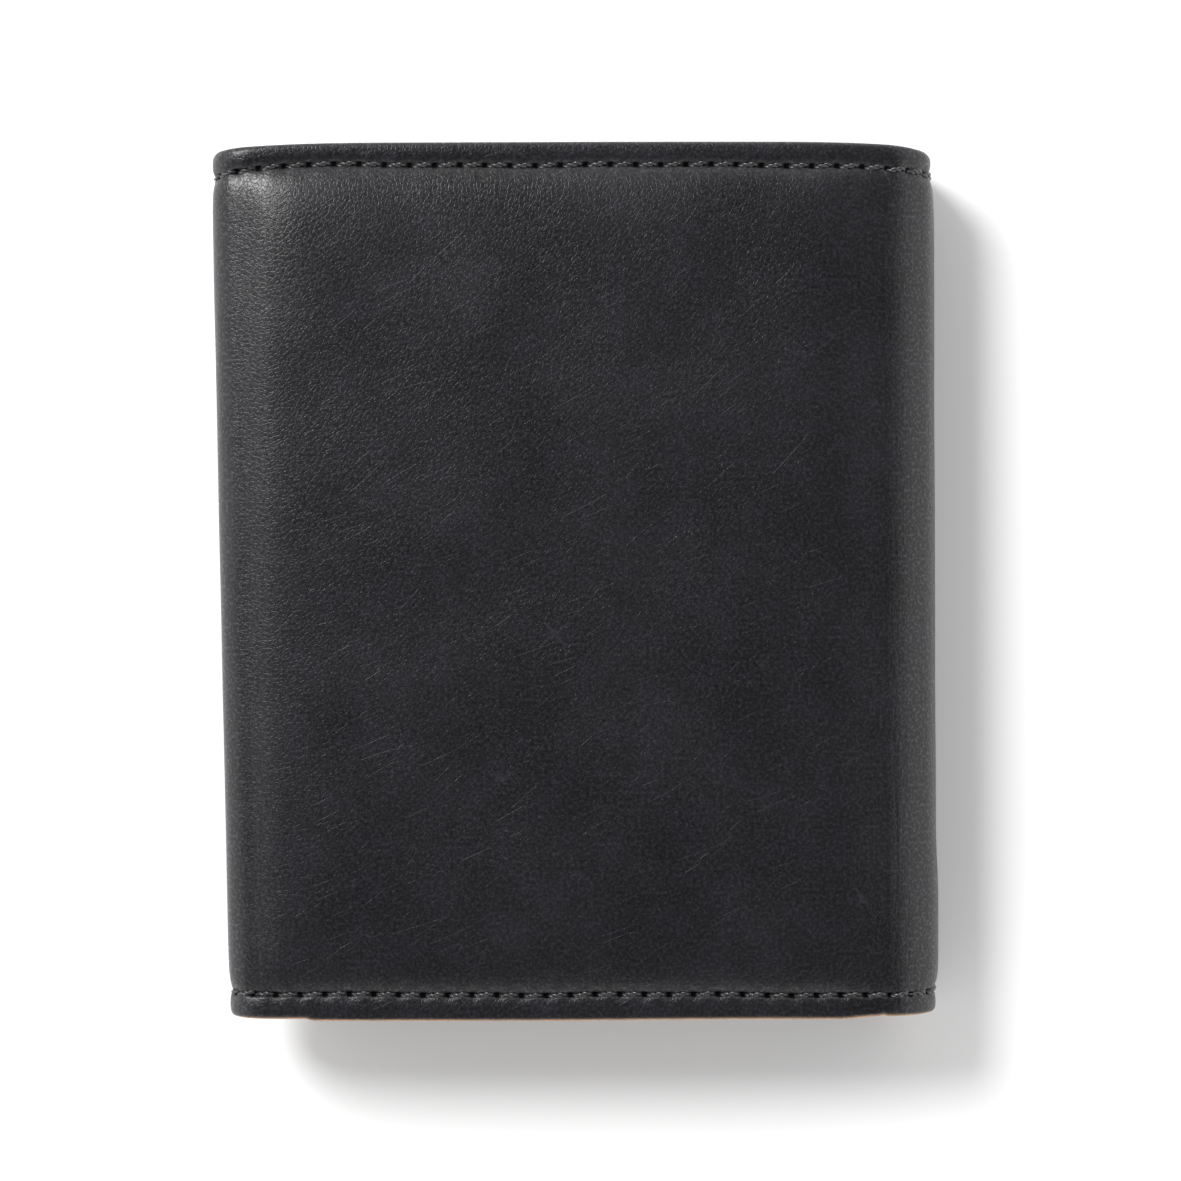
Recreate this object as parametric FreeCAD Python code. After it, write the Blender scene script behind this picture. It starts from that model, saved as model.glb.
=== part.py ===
"""Trifold leather wallet, closed: an outer flap, a centre panel and an inner flap joined by two folds.

Frame: X runs across the wallet, +Y points to the bill compartment's mouth, +Z is up. The closed wallet
lies on its outer flap, so its outer face is Z = 0. Units are millimetres.

The cross-section lies in XZ and every leather layer is an extrusion of it along Y. A layer is given by
its two depths below the outside face of the shell. Each fold is a strip between two hinge lines, and
the leather is parted along those lines, where it bends.
"""

import FreeCAD, Part
import math
import os

from FreeCAD import Vector

os.makedirs("parts", exist_ok=True)

# Overall size of the closed wallet
WIDTH = 84.0
HEIGHT = 102.0

# Leather, fabric and window thicknesses
SHELL = 1.2
LINING = 0.3
BILL_GAP = 0.6
DIVIDER = 0.7
POCKET = 0.65
SLOT_GAP = 0.25
WINDOW = 0.3
ID_FRAME = 0.75
PANEL_CLEARANCE = 0.6

# Depths of the layers below the outside face
LINING_TOP = SHELL
GAP_TOP = LINING_TOP + LINING
DIVIDER_TOP = GAP_TOP + BILL_GAP
DIVIDER_END = DIVIDER_TOP + DIVIDER
POCKET_COUNT = 3
POCKET_STEP = SLOT_GAP + POCKET
PANEL_THICK = DIVIDER_END + POCKET_COUNT * POCKET_STEP
ID_WINDOW_TOP = DIVIDER_END + SLOT_GAP
ID_FRAME_TOP = ID_WINDOW_TOP + WINDOW
INNER_THICK = ID_FRAME_TOP + ID_FRAME

# Heights of the three panels' outside faces
INNER_FACE = PANEL_THICK + PANEL_CLEARANCE
TOP_FACE = INNER_FACE + INNER_THICK + PANEL_CLEARANCE + PANEL_THICK

# Folds: outside radius of each corner, and the ends of the flaps
OUTER_FOLD_R = 6.2
INNER_FOLD_R = 4.4
OUTER_FOLD_X = WIDTH / 2 - OUTER_FOLD_R
INNER_FOLD_X = INNER_FOLD_R - WIDTH / 2
OUTER_UPPER_Z = TOP_FACE - OUTER_FOLD_R
OUTER_LOWER_Z = OUTER_FOLD_R
INNER_UPPER_Z = TOP_FACE - INNER_FOLD_R
INNER_LOWER_Z = INNER_FACE + INNER_FOLD_R
OUTER_FLAP_END = -33.0
INNER_FLAP_END = 24.2
OUTER_PARTING = 2.5  # degrees that each side is cut back at a hinge line
INNER_PARTING = 4.0

# Seams along the top and bottom edges and the flaps' free ends
HALF_H = HEIGHT / 2
SEAM_BAND = 4.2
SEAM_SINK = 0.45
EDGE_WALL = 0.8
HEM = 5.5
DIVIDER_MOUTH = 45.0
STITCH_INSET = 2.4
STITCH_PITCH = 3.05
STITCH_LENGTH = 2.2
THREAD_WIDTH = 0.6
THREAD_RISE = 0.3

# Pockets
POCKET_TOPS = (32.0, 20.0, 8.0)
POCKET_FLOOR = -HALF_H + EDGE_WALL
CENTRE_POCKETS = (-32.0, 33.0)
OUTER_POCKETS = (-32.0, 31.0)
TAPE_WIDTH = 3.0
ID_TOP = 44.0
ID_MARGIN = 8.0
ID_SIDES = (-36.0, INNER_FLAP_END - 0.4)
THUMB_R = 9.0
SIDE_STITCH_INSET = 1.6


class Arc:
    """Round stretch of the outside face about (cx, cz), from one angle to another in degrees."""

    def __init__(self, cx, cz, radius, start, end):
        self.cx, self.cz, self.radius, self.start, self.end = cx, cz, radius, start, end

    def point(self, share, depth):
        angle = math.radians(self.start + share * (self.end - self.start))
        reach = self.radius - depth
        return Vector(self.cx + reach * math.cos(angle), 0, self.cz + reach * math.sin(angle))

    def edge(self, depth):
        return Part.Arc(self.point(0, depth), self.point(0.5, depth), self.point(1, depth)).toShape()

    def length(self):
        return self.radius * math.radians(abs(self.end - self.start))


class Line:
    """Flat stretch of the outside face between two XZ points, with the direction that faces inwards."""

    def __init__(self, start, end, inward):
        self.start, self.end, self.inward = Vector(start[0], 0, start[1]), Vector(end[0], 0, end[1]), inward

    def point(self, share, depth):
        inward = Vector(self.inward[0], 0, self.inward[1])
        return self.start + (self.end - self.start) * share + inward * depth

    def edge(self, depth):
        return Part.LineSegment(self.point(0, depth), self.point(1, depth)).toShape()

    def length(self):
        return (self.end - self.start).Length


def paths():
    """The outside face of each body as its stretches in order along the leather."""
    outer_cut, inner_cut = OUTER_PARTING, INNER_PARTING
    right, left = WIDTH / 2, -WIDTH / 2
    return {
        "inner_flap": [
            Line((INNER_FLAP_END, INNER_FACE), (INNER_FOLD_X, INNER_FACE), (0, 1)),
            Arc(INNER_FOLD_X, INNER_LOWER_Z, INNER_FOLD_R, 270, 225 + inner_cut),
        ],
        "inner_fold": [
            Arc(INNER_FOLD_X, INNER_LOWER_Z, INNER_FOLD_R, 225 - inner_cut, 180),
            Line((left, INNER_LOWER_Z), (left, INNER_UPPER_Z), (1, 0)),
            Arc(INNER_FOLD_X, INNER_UPPER_Z, INNER_FOLD_R, 180, 135 + inner_cut),
        ],
        "centre": [
            Arc(INNER_FOLD_X, INNER_UPPER_Z, INNER_FOLD_R, 135 - inner_cut, 90),
            Line((INNER_FOLD_X, TOP_FACE), (OUTER_FOLD_X, TOP_FACE), (0, -1)),
            Arc(OUTER_FOLD_X, OUTER_UPPER_Z, OUTER_FOLD_R, 90, 45 + outer_cut),
        ],
        "outer_fold": [
            Arc(OUTER_FOLD_X, OUTER_UPPER_Z, OUTER_FOLD_R, 45 - outer_cut, 0),
            Line((right, OUTER_UPPER_Z), (right, OUTER_LOWER_Z), (-1, 0)),
            Arc(OUTER_FOLD_X, OUTER_LOWER_Z, OUTER_FOLD_R, 0, -45 + outer_cut),
        ],
        "outer_flap": [
            Arc(OUTER_FOLD_X, OUTER_LOWER_Z, OUTER_FOLD_R, -45 - outer_cut, -90),
            Line((OUTER_FOLD_X, 0), (OUTER_FLAP_END, 0), (0, 1)),
        ],
    }


def layer(path, top, bottom, low, high):
    """One layer of a body between two depths, from low to high along Y."""
    forward = [stretch.edge(top) for stretch in path]
    back = [stretch.edge(bottom) for stretch in reversed(path)]
    first, last = path[0], path[-1]
    ends = [
        Part.LineSegment(last.point(1, top), last.point(1, bottom)).toShape(),
        Part.LineSegment(first.point(0, bottom), first.point(0, top)).toShape(),
    ]
    wire = Part.Wire(Part.__sortEdges__(forward + back + ends))
    solid = Part.Face(wire).extrude(Vector(0, high - low, 0))
    solid.translate(Vector(0, low, 0))
    return solid


def box(x_range, y_range, z_range):
    """Axis-aligned block between two values on each axis."""
    sizes = [span[1] - span[0] for span in (x_range, y_range, z_range)]
    return Part.makeBox(*sizes, Vector(x_range[0], y_range[0], z_range[0]))


def joined(solids):
    """Several touching solids fused into one."""
    whole = solids[0].multiFuse(solids[1:]).removeSplitter()
    return whole.Solids[0] if len(whole.Solids) == 1 else whole


def shell(path, free_end=None, face=0.0):
    """Shell leather with sunk seam bands, and its edge turned round the lining as a hem."""
    band = HALF_H - SEAM_BAND
    pieces = [layer(path, 0, SHELL, -band, band)]
    for side in (-1, 1):
        def span(inner, outer):
            return sorted((side * inner, side * outer))

        pieces.append(layer(path, SEAM_SINK, SHELL, *span(band, HALF_H)))
        pieces.append(layer(path, SEAM_SINK, DIVIDER_TOP, *span(HALF_H - EDGE_WALL, HALF_H)))
        pieces.append(layer(path, GAP_TOP, DIVIDER_TOP, *span(HALF_H - HEM, HALF_H)))
    whole = joined(pieces)
    if free_end is None:
        return whole
    inward = 1 if free_end < 0 else -1
    hem = sorted((free_end, free_end + inward * HEM))
    wall = sorted((free_end, free_end + inward * EDGE_WALL))
    sunk = sorted((free_end, free_end + inward * SEAM_BAND))
    full = (-HALF_H, HALF_H)
    whole = whole.fuse(box(hem, full, (face + GAP_TOP, face + DIVIDER_TOP)))
    whole = whole.fuse(box(wall, full, (face + SEAM_SINK, face + DIVIDER_TOP)))
    whole = whole.cut(box(sunk, full, (face - 1, face + SEAM_SINK)))
    return whole.removeSplitter().Solids[0]


def trimmed(path, free_end):
    """The same path, ended short of the free end's turned edge."""
    inward = 1 if free_end < 0 else -1
    end = free_end + inward * EDGE_WALL
    flat = next(stretch for stretch in path if isinstance(stretch, Line))
    starts_free = abs(flat.start.x - free_end) < 1e-6
    start_x, end_x = (end, flat.end.x) if starts_free else (flat.start.x, end)
    short = Line((start_x, flat.start.z), (end_x, flat.end.z), flat.inward)
    return [short if stretch is flat else stretch for stretch in path]


def stitch(point, angle, y, along_y=False):
    """One stitch lying on the seam band: its middle, its slope in XZ and its place along Y."""
    long, wide = (THREAD_WIDTH, STITCH_LENGTH) if along_y else (STITCH_LENGTH, THREAD_WIDTH)
    bar = Part.makeBox(long, wide, THREAD_RISE, Vector(-long / 2, -wide / 2, 0))
    bar.rotate(Vector(0, 0, 0), Vector(0, 1, 0), angle)
    bar.translate(Vector(point.x, y, point.z))
    return bar


def seam_stitches(path, free_end=None):
    """Stitches on the top and bottom seam bands, and down the free end where there is one."""
    bars = []
    for stretch in path:
        usable = stretch.length() - (STITCH_INSET if free_end is not None and isinstance(stretch, Line) else 0)
        count = max(1, round(usable / STITCH_PITCH))
        for index in range(count):
            share = (index + 0.5) / count
            if free_end is not None and isinstance(stretch, Line):
                share *= usable / stretch.length()
                share = share if abs(stretch.end.x - free_end) < 1e-6 else 1 - share
            seat = stretch.point(share, SEAM_SINK)
            outward = stretch.point(share, 0) - seat
            angle = math.degrees(math.atan2(outward.x, outward.z))
            if isinstance(stretch, Arc):
                seat = seat + outward * 0.1
            for side in (-1, 1):
                bars.append(stitch(seat, angle, side * (HALF_H - STITCH_INSET)))
    if free_end is not None:
        bars += free_end_stitches(path, free_end)
    return Part.makeCompound(bars)


def free_end_stitches(path, free_end):
    """Stitches down the free end of a flap, clear of the two long rows."""
    flat = next(stretch for stretch in path if isinstance(stretch, Line))
    inward = 1 if free_end < 0 else -1
    seat = Vector(free_end + inward * STITCH_INSET, 0, flat.start.z + SEAM_SINK)
    reach = HALF_H - STITCH_INSET - 1.5
    count = round(2 * reach / STITCH_PITCH)
    step = 2 * reach / count
    return [stitch(seat, 180, -reach + (index + 0.5) * step, along_y=True) for index in range(count)]


def card_pockets(name, sides, face, inward):
    """Stepped card pockets over a panel's divider, with seam tape between them, one node each."""
    made = {}
    tapes = []
    for index, top in enumerate(POCKET_TOPS):
        depth = DIVIDER_END + index * POCKET_STEP
        gap = sorted((face + inward * depth, face + inward * (depth + SLOT_GAP)))
        leather = sorted((face + inward * (depth + SLOT_GAP), face + inward * (depth + POCKET_STEP)))
        made[f"{name}_card_pocket_{index + 1}"] = box(sides, (POCKET_FLOOR, top), leather)
        left, right = sides
        tapes.append(box((left, left + TAPE_WIDTH), (POCKET_FLOOR, top), gap))
        tapes.append(box((right - TAPE_WIDTH, right), (POCKET_FLOOR, top), gap))
        tapes.append(box((left + TAPE_WIDTH, right - TAPE_WIDTH), (POCKET_FLOOR, POCKET_FLOOR + TAPE_WIDTH), gap))
    made[f"{name}_pocket_seam_tape"] = Part.makeCompound(tapes)
    made[f"{name}_pocket_stitches"] = side_stitches(sides, face, inward)
    return made


def side_stitches(sides, face, inward):
    """Stitches down both sides of a pocket stack, each lying on the pocket that shows there."""
    bars = []
    floor = POCKET_FLOOR + 5.0
    levels = []
    for index, top in enumerate(POCKET_TOPS):
        low = POCKET_TOPS[index + 1] if index + 1 < POCKET_COUNT else floor
        levels.append((low, top, DIVIDER_END + (index + 1) * POCKET_STEP))
    for low, high, depth in levels:
        count = int((high - low - 0.8) / STITCH_PITCH)
        step = (high - low) / count
        for index in range(count):
            y = low + (index + 0.5) * step
            for x in (sides[0] + SIDE_STITCH_INSET, sides[1] - SIDE_STITCH_INSET):
                seat = Vector(x, 0, face + inward * depth)
                bars.append(stitch(seat, 0 if inward > 0 else 180, y, along_y=True))
    return Part.makeCompound(bars)


def id_pocket(face):
    """Identity-card pocket on the inner flap: clear window behind a leather frame with a thumb notch."""
    left, right = ID_SIDES
    middle = (left + right) / 2
    frame_z = (face + ID_FRAME_TOP, face + INNER_THICK)
    frame = box(ID_SIDES, (POCKET_FLOOR, ID_TOP), frame_z)
    opening = box((left + ID_MARGIN, right - ID_MARGIN), (-38.0, 30.0), (frame_z[0] - 1, frame_z[1] + 1))
    corners = [edge for edge in opening.Edges if abs(edge.tangentAt(edge.FirstParameter).z) > 0.9]
    notch = Part.makeCylinder(THUMB_R, 3, Vector(middle, ID_TOP + 3.0, frame_z[0] - 1))
    frame = frame.cut(opening.makeFillet(3.0, corners)).cut(notch)
    pane = box(
        (left + 3.0, right - 3.0),
        (-42.0, 33.0),
        (face + ID_WINDOW_TOP, face + ID_FRAME_TOP),
    )
    gap = (face + DIVIDER_END, face + ID_WINDOW_TOP)
    tapes = [
        box((left, left + TAPE_WIDTH), (POCKET_FLOOR, ID_TOP - 6.0), (gap[0], face + ID_FRAME_TOP)),
        box((right - TAPE_WIDTH, right), (POCKET_FLOOR, ID_TOP - 6.0), (gap[0], face + ID_FRAME_TOP)),
        box(
            (left + TAPE_WIDTH, right - TAPE_WIDTH),
            (POCKET_FLOOR, POCKET_FLOOR + TAPE_WIDTH),
            (gap[0], face + ID_FRAME_TOP),
        ),
    ]
    return {
        "inner_flap_id_frame": frame.Solids[0],
        "inner_flap_id_window": pane,
        "inner_flap_seam_tape": Part.makeCompound(tapes),
    }


def build():
    """All nodes by name."""
    nodes = {}
    free_ends = {"inner_flap": (INNER_FLAP_END, INNER_FACE), "outer_flap": (OUTER_FLAP_END, 0.0)}
    for body, path in paths().items():
        free_end, face = free_ends.get(body, (None, 0.0))
        inside = path if free_end is None else trimmed(path, free_end)
        nodes[f"{body}_shell"] = shell(path, free_end, face)
        lining_reach = HALF_H - EDGE_WALL
        nodes[f"{body}_lining"] = layer(inside, LINING_TOP, GAP_TOP, -lining_reach, lining_reach)
        nodes[f"{body}_divider"] = layer(path, DIVIDER_TOP, DIVIDER_END, POCKET_FLOOR, DIVIDER_MOUTH)
        nodes[f"{body}_seam_stitches"] = seam_stitches(path, free_end)
    nodes.update(card_pockets("centre", CENTRE_POCKETS, TOP_FACE, -1))
    nodes.update(card_pockets("outer_flap", OUTER_POCKETS, 0.0, 1))
    nodes.update(id_pocket(INNER_FACE))
    return nodes


def main():
    for name, shape in build().items():
        if not shape.isValid():
            raise ValueError(f"{name} is not a valid shape")
        shape.exportStep(f"parts/{name}.step")


main()
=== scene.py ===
"""Looks of a closed trifold wallet in smooth black leather with stitched top and bottom edges.

The wallet is one long strip of leather, folded twice. Every soft layer is laid out along that strip: a
place is given by the distance along it from the inner flap's free end, by Y across it, and by the depth
below its outside face. Lengths are in millimetres until a mesh is made, and then in metres.
"""

import logging
import math
from collections.abc import Callable, Sequence
from dataclasses import dataclass, field, replace
from enum import Enum

import bpy
import numpy as np
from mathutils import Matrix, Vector


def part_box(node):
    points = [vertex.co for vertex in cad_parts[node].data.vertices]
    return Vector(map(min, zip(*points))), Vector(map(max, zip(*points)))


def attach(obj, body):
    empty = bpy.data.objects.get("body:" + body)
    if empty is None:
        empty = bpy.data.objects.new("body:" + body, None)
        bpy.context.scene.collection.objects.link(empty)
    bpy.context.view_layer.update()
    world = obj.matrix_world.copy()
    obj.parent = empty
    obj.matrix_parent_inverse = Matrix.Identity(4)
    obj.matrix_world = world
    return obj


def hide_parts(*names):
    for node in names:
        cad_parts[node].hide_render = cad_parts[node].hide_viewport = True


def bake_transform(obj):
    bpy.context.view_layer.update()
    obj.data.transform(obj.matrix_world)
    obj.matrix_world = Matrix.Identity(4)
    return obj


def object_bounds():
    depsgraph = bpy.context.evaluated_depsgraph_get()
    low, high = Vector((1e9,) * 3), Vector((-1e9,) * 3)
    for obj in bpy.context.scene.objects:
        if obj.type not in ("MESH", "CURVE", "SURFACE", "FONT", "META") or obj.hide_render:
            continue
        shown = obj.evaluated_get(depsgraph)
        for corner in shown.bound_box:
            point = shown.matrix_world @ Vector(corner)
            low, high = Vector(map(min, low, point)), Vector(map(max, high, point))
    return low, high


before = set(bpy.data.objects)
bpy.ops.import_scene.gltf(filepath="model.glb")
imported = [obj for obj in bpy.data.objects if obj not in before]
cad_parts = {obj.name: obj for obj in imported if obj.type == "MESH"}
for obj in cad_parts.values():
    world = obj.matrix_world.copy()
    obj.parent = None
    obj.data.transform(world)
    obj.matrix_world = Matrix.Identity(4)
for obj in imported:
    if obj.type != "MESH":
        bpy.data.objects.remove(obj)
CAD_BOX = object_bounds()
MM = 0.001
LOG = logging.getLogger("wallet")

Colour = tuple[float, float, float]
Link = "Value | bpy.types.NodeSocket | float | Sequence[float] | bool | str"
Limit = Callable[[np.ndarray], np.ndarray]


def mm_box(node: str) -> tuple[Vector, Vector]:
    """Lowest and highest corner of a CAD node in millimetres."""
    low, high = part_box(node)
    return low / MM, high / MM


def bell(values: np.ndarray, centre: float, width: float) -> np.ndarray:
    """Smooth hump of height 1 about centre."""
    return np.exp(-(((values - centre) / width) ** 2))


def ramp(values: np.ndarray, start: float, end: float) -> np.ndarray:
    """Smooth step from 0 at start to 1 at end."""
    share = np.clip((values - start) / (end - start), 0, 1)
    return share * share * (3 - 2 * share)


def rounding(gap: np.ndarray, radius: np.ndarray | float) -> np.ndarray:
    """How far an edge of that radius has dropped at a gap from its end."""
    inside = np.clip(radius - gap, 0, radius)
    return radius - np.sqrt(np.maximum(radius * radius - inside * inside, 0))


@dataclass(frozen=True)
class Stack:
    """Depths of the layers below the shell's outside face."""

    shell: float = 1.2
    lining: float = 0.3
    bill_gap: float = 0.6
    divider: float = 0.7
    pocket: float = 0.65
    slot_gap: float = 0.25

    @property
    def lining_end(self) -> float:
        """Depth of the lining's inner face."""
        return self.shell + self.lining

    @property
    def divider_start(self) -> float:
        """Depth of the divider's outer face."""
        return self.lining_end + self.bill_gap

    @property
    def divider_end(self) -> float:
        """Depth of the divider's inner face."""
        return self.divider_start + self.divider

    def pocket_front(self, index: int) -> float:
        """Depth of a card pocket's visible face."""
        return self.divider_end + (index + 1) * (self.slot_gap + self.pocket)


@dataclass(frozen=True)
class FoldPath:
    """The outside face's line in XZ, from the inner flap's free end round both folds to the outer flap's."""

    outer_radius: float = 6.2
    inner_radius: float = 4.4
    half_width: float = 42.0
    top: float = field(default_factory=lambda: mm_box("centre_shell")[1].z)
    inner_face: float = field(default_factory=lambda: mm_box("inner_flap_shell")[0].z)
    inner_end: float = field(default_factory=lambda: mm_box("inner_flap_shell")[1].x)
    outer_end: float = field(default_factory=lambda: mm_box("outer_flap_shell")[0].x)

    def stretches(self) -> list[tuple[float, float]]:
        """Length and clockwise turn of each stretch in order."""
        quarter = math.pi / 2
        left, right = self.inner_radius - self.half_width, self.half_width - self.outer_radius
        return [
            (self.inner_end - left, 0.0),
            (self.inner_radius * quarter, quarter),
            (self.top - self.inner_face - 2 * self.inner_radius, 0.0),
            (self.inner_radius * quarter, quarter),
            (right - left, 0.0),
            (self.outer_radius * quarter, quarter),
            (self.top - 2 * self.outer_radius, 0.0),
            (self.outer_radius * quarter, quarter),
            (right - self.outer_end, 0.0),
        ]

    def starts(self) -> np.ndarray:
        """Distance along the strip at which each stretch begins, and the whole length last."""
        return np.concatenate([[0.0], np.cumsum([length for length, _ in self.stretches()])])

    def at(self, along: np.ndarray, depth: np.ndarray | float) -> tuple[np.ndarray, np.ndarray, np.ndarray]:
        """Place on the strip.

        Args:
            along: Distances along the strip.
            depth: Depths below the outside face.

        Returns:
            X, Z and the direction of travel in radians, each shaped like along.
        """
        along, depth = np.broadcast_arrays(np.asarray(along, float), np.asarray(depth, float))
        x, z, heading = np.zeros_like(along), np.zeros_like(along), np.zeros_like(along)
        start_x, start_z, start_heading = self.inner_end, self.inner_face, math.pi
        starts = self.starts()
        last = len(starts) - 2
        for index, (length, turn) in enumerate(self.stretches()):
            low = starts[index] if index else -np.inf
            high = starts[index + 1] if index < last else np.inf
            here = (along >= low) & (along < high)
            gone = along - starts[index]
            bend = turn / length
            now = start_heading - gone * bend
            if turn:
                step_x = (math.sin(start_heading) - np.sin(now)) / bend
                step_z = (np.cos(now) - math.cos(start_heading)) / bend
            else:
                step_x, step_z = gone * math.cos(start_heading), gone * math.sin(start_heading)
            x = np.where(here, start_x + step_x, x)
            z = np.where(here, start_z + step_z, z)
            heading = np.where(here, now, heading)
            if turn:
                end = start_heading - turn
                start_x += (math.sin(start_heading) - math.sin(end)) / bend
                start_z += (math.cos(end) - math.cos(start_heading)) / bend
                start_heading = end
            else:
                start_x += length * math.cos(start_heading)
                start_z += length * math.sin(start_heading)
        return x + np.sin(heading) * depth, z - np.cos(heading) * depth, heading


class Relief:
    """How the sewn leather departs from the plain strip: its edges, seam rows, crown, valley and creases.

    Heights are in millimetres above the plain strip, and reaches say how fast a height fades with distance.
    """

    half = 51.0
    seam_inset = 2.45
    seam_sink = 0.5
    seam_reach, band_reach = 1.0, 0.5
    crown, crown_reach = 0.85, 4.5
    shoulder, shoulder_reach = 0.2, 1.7
    corner_rise, corner_reach = 0.4, 2.2
    fold_rise, fold_reach, lower_fold_rise = 0.2, 0.9, 0.3
    band_crown, band_fold_drop = 0.1, 0.3
    pucker, pucker_reach = 0.13, 0.5
    valley_depth, valley_width, valley_ahead = 0.42, 1.9, 0.9
    panel_rise = 4.5
    roll_drop, roll_reach = 0.42, 1.5
    edge_radius, end_radius = 0.5, 0.5
    wave_height, wave_reach, wave_count, wave_seed = 0.016, 3.0, 26, 11
    flap_limit = 0.2
    slant = 1.1
    ease = 0.17
    fine_crease, broad_crease = 0.83, 1.31

    def __init__(self, path: FoldPath) -> None:
        """Take the places of the folds from the path.

        Args:
            path: The strip's line.
        """
        starts = path.starts()
        self.path = path
        self.length = starts[-1]
        self.left = (starts[2] + starts[3]) / 2
        self.left_top = starts[3]
        self.left_low = starts[1]
        self.left_low_end = starts[2]
        self.top_start = starts[4]
        self.top_end = starts[5]
        self.right_top = starts[6]
        self.right_low = starts[7]
        self.right = (starts[6] + starts[7]) / 2
        self.outer_start = starts[8]
        self.valley = self.top_start - self.valley_ahead
        self.ripples = self._ripples(self.wave_count, np.random.default_rng(self.wave_seed))

    @staticmethod
    def _ripples(count: int, chance: np.random.Generator) -> np.ndarray:
        """Directions, phases and heights of the slow waves in the leather."""
        angle = chance.uniform(0, math.pi, count)
        wave = 2 * math.pi / chance.uniform(9, 34, count)
        phase = chance.uniform(0, 2 * math.pi, count)
        return np.stack([np.cos(angle) * wave, np.sin(angle) * wave, phase, chance.uniform(0.4, 1, count)])

    def folds(self, along: np.ndarray, width: float) -> np.ndarray:
        """1 on the two folds' outermost lines, falling to 0 away from them."""
        return np.maximum(bell(along, self.left, width), bell(along, self.right, width))

    def edges(self, along: np.ndarray) -> tuple[np.ndarray, np.ndarray]:
        """Y of the bottom and the top edge."""
        drawn_in = 0.75 * (bell(along, self.left, 11.0) + bell(along, self.right, 11.0))
        top = 0.2 + self.half - drawn_in
        rise = ramp(along, self.top_end - 6.0, self.top_end - 1.0)
        fall = ramp(along, self.right_low, self.outer_start + 2.0)
        notch = 0.14 * bell(along, self.top_end - 0.4, 0.5)
        step = 1 - ramp(along, self.top_start + 4.9, self.top_start + 5.6)
        step *= ramp(along, self.left_low - 2.0, self.left_low + 2.0)
        low = -self.half - 0.3 + 0.2 * ramp(along, self.top_start + 30.0, self.top_start + 60.0)
        return low + 0.22 * step + 0.3 * rise * (1 - fall) + notch, top + 0.05 * np.sin(along / 17.0)

    def rows(self, along: np.ndarray) -> tuple[np.ndarray, np.ndarray]:
        """Y of the bottom and the top row of stitches."""
        drawn_in = 1.25 * bell(along, self.left, 8.2) + 0.9 * bell(along, self.right, 11.2)
        top = self.half - self.seam_inset - drawn_in
        wander = 0.07 * np.sin(along / 6.1) + 0.05 * np.sin(along / 2.3 + 1.0)
        return 0.3 - self.half + self.seam_inset + wander, top + wander

    def shift(self, along: np.ndarray, across: np.ndarray) -> np.ndarray:
        """Sideways lean of the strip: the left fold is not quite square to the edges."""
        before = ramp(along, self.left_low - 24.0, self.left_low + 4.0)
        after = 1 - np.clip((along - self.valley) / (self.top_end - self.valley), 0, 1)
        lean = self.ease * ramp(along, self.valley, self.top_end) + self.slant * before * after
        lean *= 1 - 0.9 * ramp(along, self.right, self.outer_start + 20.0)
        return -lean * across / self.half

    def height(self, along: np.ndarray, across: np.ndarray, pitch: float) -> np.ndarray:
        """Height of the outside face above the plain strip.

        Args:
            along: Distances along the strip.
            across: Y at each place.
            pitch: Distance between stitches.

        Returns:
            Heights, negative where the leather is drawn in.
        """
        low_edge, high_edge = self.edges(along)
        low_row, high_row = self.rows(along)
        inside = np.minimum(across - low_row, high_row - across)
        to_edge = np.minimum(across - low_edge, high_edge - across)
        is_band, gap = inside < 0, np.abs(inside)
        upper = ramp(across, -5, 5)
        on_panel = self.on_panel(along)
        height = np.where(is_band, self.band(along, upper, gap), self.panel(along, across, gap, on_panel))
        height = height - self.pucker * np.cos(2 * math.pi * along / pitch) * np.exp(-gap / self.pucker_reach)
        dip = self.valley_depth * bell(along, self.valley, self.valley_width)
        height = height - dip * np.where(is_band, 0.3, 1.0)
        height = height - rounding(to_edge, self.edge_radius + self.folds(along, 5.5) * (0.15 + 0.35 * upper))
        roll = ramp(along, self.top_end - 6.5, self.top_end + 2.0)
        roll = roll - ramp(along, self.top_end + 2.5, self.right_top)
        height = height - self.roll_drop * roll * (1 - 0.6 * np.exp(-gap / self.roll_reach))
        height = height + self.creases(along, across, gap)
        waves = sum(high * np.sin(kx * along + ky * across + phase) for kx, ky, phase, high in self.ripples.T)
        calm = (0.25 + 0.75 * on_panel) * (1 - np.exp(-gap / self.wave_reach))
        height = height + self.wave_height * waves * calm
        end_gap = np.minimum(along, self.length - along)
        end_seam = self.seam_sink * 0.8 * bell(end_gap, self.seam_inset, 0.6)
        height = height - rounding(end_gap, self.end_radius) - end_seam
        inner = 1 - ramp(along, self.left_low - 6, self.left_low_end)
        on_flap = np.maximum(inner, ramp(along, self.right_low, self.outer_start))
        return np.where(on_flap > 0, np.minimum(height, self.flap_limit * (1 - on_flap)), height)

    def on_panel(self, along: np.ndarray) -> np.ndarray:
        """1 on the open panel, falling to 0 at the valley and at the outer fold."""
        past = along - self.valley
        rise = 1 - np.exp(-(past + np.sqrt(past * past + 1)) / 2 / self.panel_rise)
        return rise * (1 - ramp(along, self.top_end - 9, self.top_end + 5))

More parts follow.
